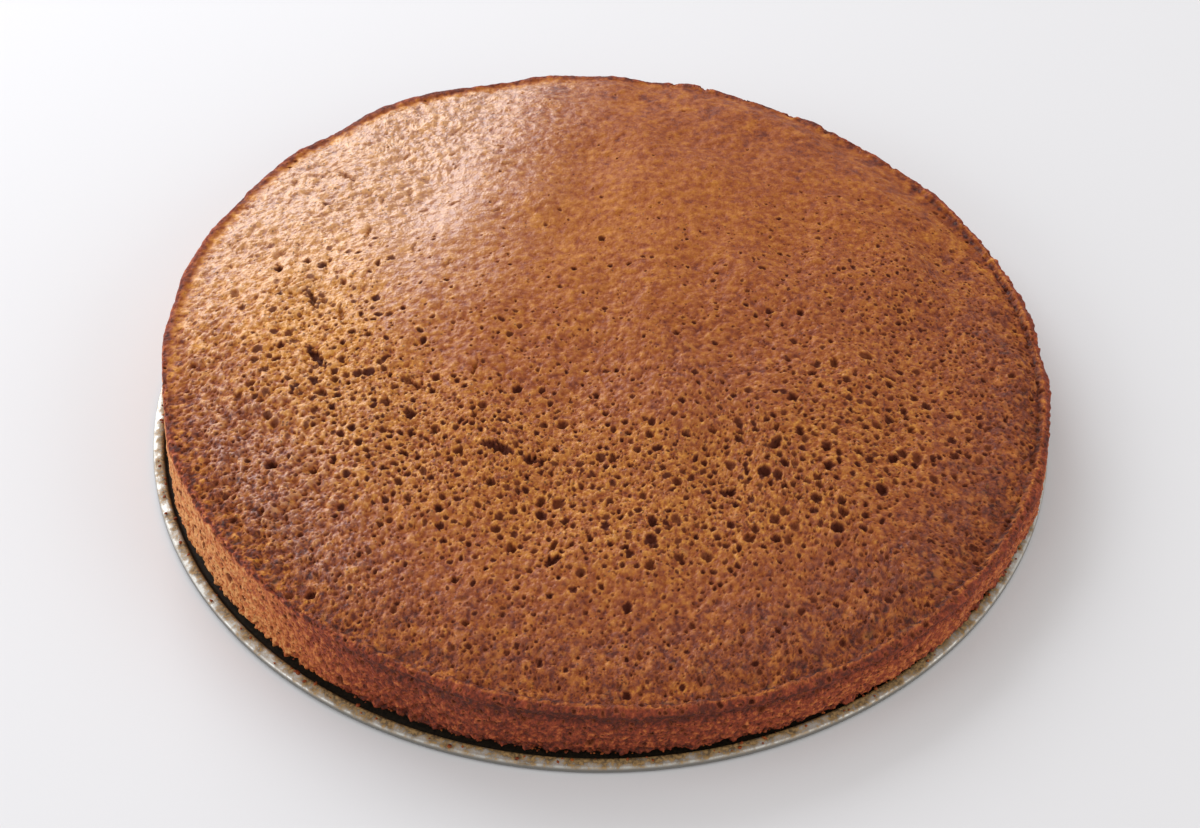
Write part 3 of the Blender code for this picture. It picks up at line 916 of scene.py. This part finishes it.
def crust_finish():
    """Baked crumb: browned batter, dull and open where it tore. Where the crust stayed whole, its
    own sugar gives it a faint glaze, and a pale sheen of the window is painted into its colour
    there."""
    finish = bpy.data.materials.new("baked_carrot_crumb")
    finish.use_nodes = True
    tree = finish.node_tree
    tree.nodes.clear()
    where = add(tree, "ShaderNodeTexCoord").outputs["Object"]
    brown, tint, pit, opened, gloss, wall = (
        add(tree, "ShaderNodeAttribute", attribute_name=name).outputs["Fac"]
        for name in ("brown", "tint", "pit", "open", "gloss", "wall")
    )
    torn = maths(tree, "MAXIMUM", opened, wall)

    # Grain of the crumb: about two millimetres, and under one, and its round granules
    noise = {"Vector": where, "Detail": 3.0, "Roughness": 0.6}
    grains, fine = (
        add(tree, "ShaderNodeTexNoise", {**noise, "Scale": 1.0 / width}).outputs["Fac"]
        for width in (GRAIN_WIDTH, FINE_GRAIN_WIDTH)
    )
    packed = add(tree, "ShaderNodeTexVoronoi", {"Vector": where, "Scale": 1.0 / GRANULE_WIDTH})
    granules = packed.outputs["Distance"]
    play = maths(tree, "MULTIPLY_ADD", grains, 0.56, -0.50)
    play = maths(tree, "MULTIPLY_ADD", fine, 0.44, play)
    play = maths(tree, "MULTIPLY", play, ranged(tree, torn, 0.0, 1.0, 0.6, 1.2))
    shade = maths(tree, "ADD", play, brown)
    crust_tones = (
        (0.0, hex_colour("#E6A558")),
        (0.22, hex_colour("#CF8A32")),
        (0.44, hex_colour("#AE6720")),
        (0.62, hex_colour("#924715")),
        (0.80, hex_colour("#6A2B16")),
        (1.0, hex_colour("#3E160C")),
    )
    crust = add(tree, "ShaderNodeValToRGB", {"Fac": shade}, stops=crust_tones).outputs["Color"]
    crumb_tones = (
        (0.0, hex_colour("#DA9A5C")),
        (0.28, hex_colour("#C06C34")),
        (0.55, hex_colour("#8F3B1D")),
        (0.80, hex_colour("#602210")),
        (1.0, hex_colour("#45190D")),
    )
    crumb = add(tree, "ShaderNodeValToRGB", {"Fac": shade}, stops=crumb_tones).outputs["Color"]
    tinted = mixed(tree, ranged(tree, tint, -0.15, -1.0, 0.0, 0.42), crust, "#84452F")
    warmed = mixed(tree, ranged(tree, tint, 0.15, 1.0, 0.0, 0.5), tinted, "#C87A34")
    # Painted sheen: a pale colour blended in where the glaze is strongest and on its raised knobs,
    # standing for the window's reflection
    with_painted_sheen = mixed(tree, ranged(tree, gloss, 0.5, 1.0, 0.0, 0.22), warmed, "#D6AC90")
    skin = mixed(tree, wall, with_painted_sheen, crumb)

    # Pinholes, in some of the cells of a millimetre, painted dark brown as the shade inside them
    cells = add(tree, "ShaderNodeTexVoronoi", {"Vector": where, "Scale": 1.0 / PINHOLE_CELL})
    chance = add(tree, "ShaderNodeSeparateColor", {"Color": cells.outputs["Color"]}).outputs[0]
    is_hole = maths(tree, "GREATER_THAN", chance, ranged(tree, torn, 0.0, 1.0, 0.96, 0.7))
    pinhole = maths(tree, "MULTIPLY", ranged(tree, cells.outputs["Distance"], 0.30, 0.20), is_hole)
    pricked = mixed(tree, ranged(tree, pinhole, 0.0, 1.0, 0.0, 0.6), skin, "#4E1E0C")
    # Painted shade inside the pores, cracks and hollows, as dark as the raster's darkness for them
    shallow = mixed(tree, ranged(tree, pit, 0.0, 0.5, 0.0, 0.75), pricked, "#944C26")
    deep = mixed(tree, ranged(tree, pit, 0.3, 1.0, 0.0, 0.94), shallow, "#4A180A")

    heights = maths(tree, "MULTIPLY_ADD", granules, -0.55, grains)
    heights = maths(tree, "MULTIPLY_ADD", fine, 0.3, heights)
    heights = maths(tree, "MULTIPLY_ADD", pinhole, -1.0, heights)

    # The glaze is a thin coat over the crumb, and pits have none
    bumps = {"Strength": ranged(tree, torn, 0.0, 1.0, 0.5, 0.95), "Distance": 0.4 * MM}
    relief = add(tree, "ShaderNodeBump", {**bumps, "Height": heights}).outputs["Normal"]
    rough = maths(tree, "MULTIPLY_ADD", pit, 0.3, ranged(tree, gloss, 0.0, 1.0, 0.64, 0.40))
    surface = {
        "Base Color": deep,
        "Roughness": rough,
        "IOR": ranged(tree, gloss, 0.0, 1.0, 1.36, 1.50),
        "Normal": relief,
        "Coat Weight": maths(tree, "MULTIPLY_ADD", pit, -0.9, gloss),
        "Coat Roughness": 0.38,
        "Coat Normal": relief,
        "Coat IOR": 1.5,
    }
    shader = add(tree, "ShaderNodeBsdfPrincipled", surface)
    add(tree, "ShaderNodeOutputMaterial", {"Surface": shader.outputs["BSDF"]})
    return finish


def tin_profile():
    """The sheet's upper side from the middle out over the lip, then back along its underside."""
    start = TIN_RADIUS - LIP_WIDTH
    lip_low = LIP_HEIGHT - LIP_SLOPE
    shoulder = (start + 0.4 * SHEET, LIP_HEIGHT - SHEET)
    lip_start = (start + 1.6 * SHEET, LIP_HEIGHT)
    rise = curved((start - 1.5 * SHEET, SHEET), (start, SHEET), shoulder, 6)
    crown = curved(shoulder, (start + 0.6 * SHEET, LIP_HEIGHT), lip_start, 5)
    top = np.linspace(crown[-1], (TIN_RADIUS - LIP_ROUNDING, lip_low), 8)
    edge = curved(top[-1], (TIN_RADIUS, lip_low), (TIN_RADIUS, lip_low - LIP_ROUNDING), 6)
    inside = TIN_RADIUS - SHEET
    under = LIP_HEIGHT - 2.0 * SHEET
    return [
        (0.0, SHEET),
        *((ring, SHEET) for ring in SHEET_RINGS),
        *map(tuple, rise),
        *map(tuple, crown[1:]),
        *map(tuple, top[1:]),
        *map(tuple, edge[1:]),
        (TIN_RADIUS, FLANGE_LOW + 0.2 * MM),
        (TIN_RADIUS - 0.1 * MM, FLANGE_LOW),
        (inside + 0.1 * MM, FLANGE_LOW),
        (inside, FLANGE_LOW + 0.2 * MM),
        (inside, under),
        (start + 1.6 * SHEET, under),
        (start + SHEET, SHEET),
        (start, 0.0),
        *((ring, 0.0) for ring in reversed(SHEET_RINGS)),
        (0.0, 0.0),
    ]


def tin_base(finish):
    """Pressed steel sheet with its lip folded up and over."""
    bm = bmesh.new()
    points = [bm.verts.new((radius, 0.0, height)) for radius, height in tin_profile()]
    edges = [bm.edges.new(pair) for pair in zip(points, points[1:])]
    bmesh.ops.spin(
        bm,
        geom=points + edges,
        cent=(0.0, 0.0, 0.0),
        axis=(0.0, 0.0, 1.0),
        angle=2.0 * math.pi,
        steps=TIN_STEPS,
        use_merge=True,
    )
    bmesh.ops.remove_doubles(bm, verts=bm.verts, dist=0.001 * MM)
    bmesh.ops.recalc_face_normals(bm, faces=bm.faces)
    mesh = bpy.data.meshes.new("tin_base_sheet")
    bm.to_mesh(mesh)
    bm.free()
    mesh.shade_smooth()
    mesh.set_sharp_from_angle(angle=math.radians(50.0))
    mesh.materials.append(finish)
    set_in_scene(bpy.data.objects.new("tin_base_sheet", mesh), "tin", "tin_base")


def tin_finish():
    """Tinned steel sheet: dull grey metal, with brown stains of baked-on batter on top of its lip,
    denser towards its inner edge and the front. Inside the lip it is painted black, partly
    baked-on batter and partly painted shade under the cake, and the lip's outer side is painted
    darker as shade."""
    finish = bpy.data.materials.new("tinned_steel_sheet")
    finish.use_nodes = True
    tree = finish.node_tree
    tree.nodes.clear()
    where = add(tree, "ShaderNodeTexCoord").outputs["Object"]
    parts = add(tree, "ShaderNodeSeparateXYZ", {"Vector": where}).outputs
    flat = add(tree, "ShaderNodeCombineXYZ", {"X": parts["X"], "Y": parts["Y"]}).outputs[0]
    reach = add(tree, "ShaderNodeVectorMath", {0: flat}, operation="LENGTH").outputs["Value"]
    noise = {"Vector": where, "Scale": 1.0 / STAIN_WIDTH, "Detail": 8.0, "Roughness": 0.72}
    stains = add(tree, "ShaderNodeTexNoise", noise).outputs["Fac"]
    flecks = {"Vector": where, "Scale": 1.0 / FLECK_WIDTH, "Detail": 3.0, "Roughness": 0.6}
    tone = ranged(tree, add(tree, "ShaderNodeTexNoise", flecks).outputs["Fac"], 0.38, 0.62)
    inward = ranged(tree, reach, 129.6 * MM, 127.4 * MM, -0.06, 0.11)
    nearby = ranged(tree, parts["Y"], -TIN_RADIUS, 0.0, 0.07, -0.01)
    level = maths(tree, "ADD", maths(tree, "ADD", stains, inward), nearby)
    on_top = ranged(tree, parts["Z"], 1.2 * MM, 2.3 * MM)
    stain = maths(tree, "MULTIPLY", on_top, ranged(tree, level, 0.44, 0.60))
    upper = ranged(tree, parts["Z"], 0.5 * MM, 0.7 * MM)
    # Painted black inside the lip: partly baked-on batter, partly painted shade under the cake's
    # foot
    black = maths(tree, "MULTIPLY", ranged(tree, reach, 127.0 * MM, 126.5 * MM), upper)
    covered = maths(tree, "MAXIMUM", stain, black)
    residue = mixed(tree, tone, "#54432A", "#A0804F")
    # The lip's outer side is painted darker grey, as shade under its rounded edge
    edge = ranged(tree, parts["Z"], 2.2 * MM, 1.5 * MM)
    colour = mixed(tree, stain, mixed(tree, edge, "#C2C0B9", "#8A8882"), residue)
    colour = mixed(tree, black, colour, mixed(tree, tone, "#17120B", "#33291A"))
    bumps = {"Strength": 0.5, "Distance": 0.15 * MM, "Height": level}
    surface = {
        "Base Color": colour,
        "Metallic": ranged(tree, covered, 0.0, 1.0, 0.8, 0.0),
        "Roughness": ranged(tree, covered, 0.0, 1.0, 0.42, 0.6),
        "Normal": add(tree, "ShaderNodeBump", bumps).outputs["Normal"],
    }
    shader = add(tree, "ShaderNodeBsdfPrincipled", surface)
    add(tree, "ShaderNodeOutputMaterial", {"Surface": shader.outputs["BSDF"]})
    return finish


def crumbs(finish):
    """Loose crumbs on the tin's lip and along the cake's foot, as one piece."""
    draw = random.Random(71)
    bm = bmesh.new()
    for step in range(LOOSE_CRUMBS):
        angle = draw.uniform(0.0, 2.0 * math.pi)
        outward = Vector((math.cos(angle), math.sin(angle), 0.0))
        size = LOOSE_SMALLEST + LOOSE_PLAY * draw.random() ** 2
        by_the_foot = step % 4
        if by_the_foot:
            centre = outward * (WALL_RADIUS - draw.uniform(0.4, 1.8) * MM) + CAKE_CENTRE
            centre.z = LIP_HEIGHT + draw.uniform(0.4, 1.6) * MM
        else:
            centre = outward * (TIN_RADIUS - draw.uniform(0.8, 3.2) * MM)
            centre.z = LIP_HEIGHT + 0.3 * size - 0.5 * LIP_SLOPE
        shape = Matrix.Diagonal((draw.uniform(0.8, 1.6), draw.uniform(0.8, 1.3), 0.8, 1.0))
        turn = Matrix.Rotation(draw.uniform(0.0, math.pi), 4, "Z")
        spot = Matrix.Translation(centre) @ turn @ shape
        made = bmesh.ops.create_icosphere(bm, subdivisions=1, radius=size, matrix=spot)
        for vertex in made["verts"]:
            vertex.co += Vector([draw.uniform(-0.25, 0.25) * size for _ in range(3)])
    mesh = bpy.data.meshes.new("loose_crumbs")
    bm.to_mesh(mesh)
    bm.free()
    plain_crumb(mesh, 0.62, 0.3)
    mesh.shade_smooth()
    mesh.materials.append(finish)
    set_in_scene(bpy.data.objects.new("loose_crumbs", mesh), "crumb")


def floor():
    """A plain pale floor, wide enough to fill the view."""
    bm = bmesh.new()
    bmesh.ops.create_grid(bm, x_segments=1, y_segments=1, size=FLOOR_REACH)
    mesh = bpy.data.meshes.new("floor")
    bm.to_mesh(mesh)
    bm.free()
    paint = bpy.data.materials.new("floor_paint")
    paint.use_nodes = True
    shader = paint.node_tree.nodes["Principled BSDF"]
    shader.inputs["Base Color"].default_value = hex_colour("#DDDDDF")
    shader.inputs["Roughness"].default_value = 0.6
    mesh.materials.append(paint)
    obj = bpy.data.objects.new("floor", mesh)
    bpy.context.scene.collection.objects.link(obj)


def area_light(name, stands_at, size, power, colour):
    """A soft rectangle of light turned to the middle of the tin, in metres and watts."""
    lamp = bpy.data.lights.new(name, "AREA")
    lamp.shape = "RECTANGLE"
    lamp.size, lamp.size_y = size
    lamp.energy = power
    lamp.color = hex_colour(colour)[:3]
    obj = bpy.data.objects.new(name, lamp)
    obj.location = stands_at
    obj.rotation_euler = (-Vector(stands_at)).to_track_quat("-Z", "Y").to_euler()
    bpy.context.scene.collection.objects.link(obj)


def lights():
    """Soft daylight from a window at the back left, and pale walls all round."""
    world = bpy.data.worlds.new("studio")
    bpy.context.scene.world = world
    world.use_nodes = True
    sky = world.node_tree.nodes["Background"]
    sky.inputs["Color"].default_value = hex_colour("#FBF9F7")
    sky.inputs["Strength"].default_value = 0.68
    area_light("window", (-0.84, 1.34, 0.78), (1.50, 1.12), 25.0, "#F8FAFF")
    area_light("left_wall", (-1.60, -0.30, 0.60), (1.2, 1.0), 11.0, "#F8FAFF")
    area_light("right_wall", (1.30, -0.60, 0.70), (1.2, 1.2), 7.0, "#FFFBF8")


def camera():
    """The photograph's view: from the front, looking down at the middle of the tin's base."""
    lens = bpy.data.cameras.new("camera")
    lens.lens = CAMERA_LENS
    lens.clip_start, lens.clip_end = 0.05, 20.0
    obj = bpy.data.objects.new("camera", lens)
    pitch = math.radians(CAMERA_PITCH)
    obj.location = Vector((0.0, -math.cos(pitch), math.sin(pitch))) * CAMERA_DISTANCE
    obj.rotation_euler = (CAMERA_AIM - obj.location).to_track_quat("-Z", "Y").to_euler()
    bpy.context.scene.collection.objects.link(obj)
    bpy.context.scene.camera = obj


camera()
crumb_finish = crust_finish()
foot_ring = cake_skin(crumb_finish)
cake_underside(foot_ring, crumb_finish)
crumbs(crumb_finish)
tin_base(tin_finish())
floor()
lights()
bpy.context.scene.view_settings.view_transform = "Standard"
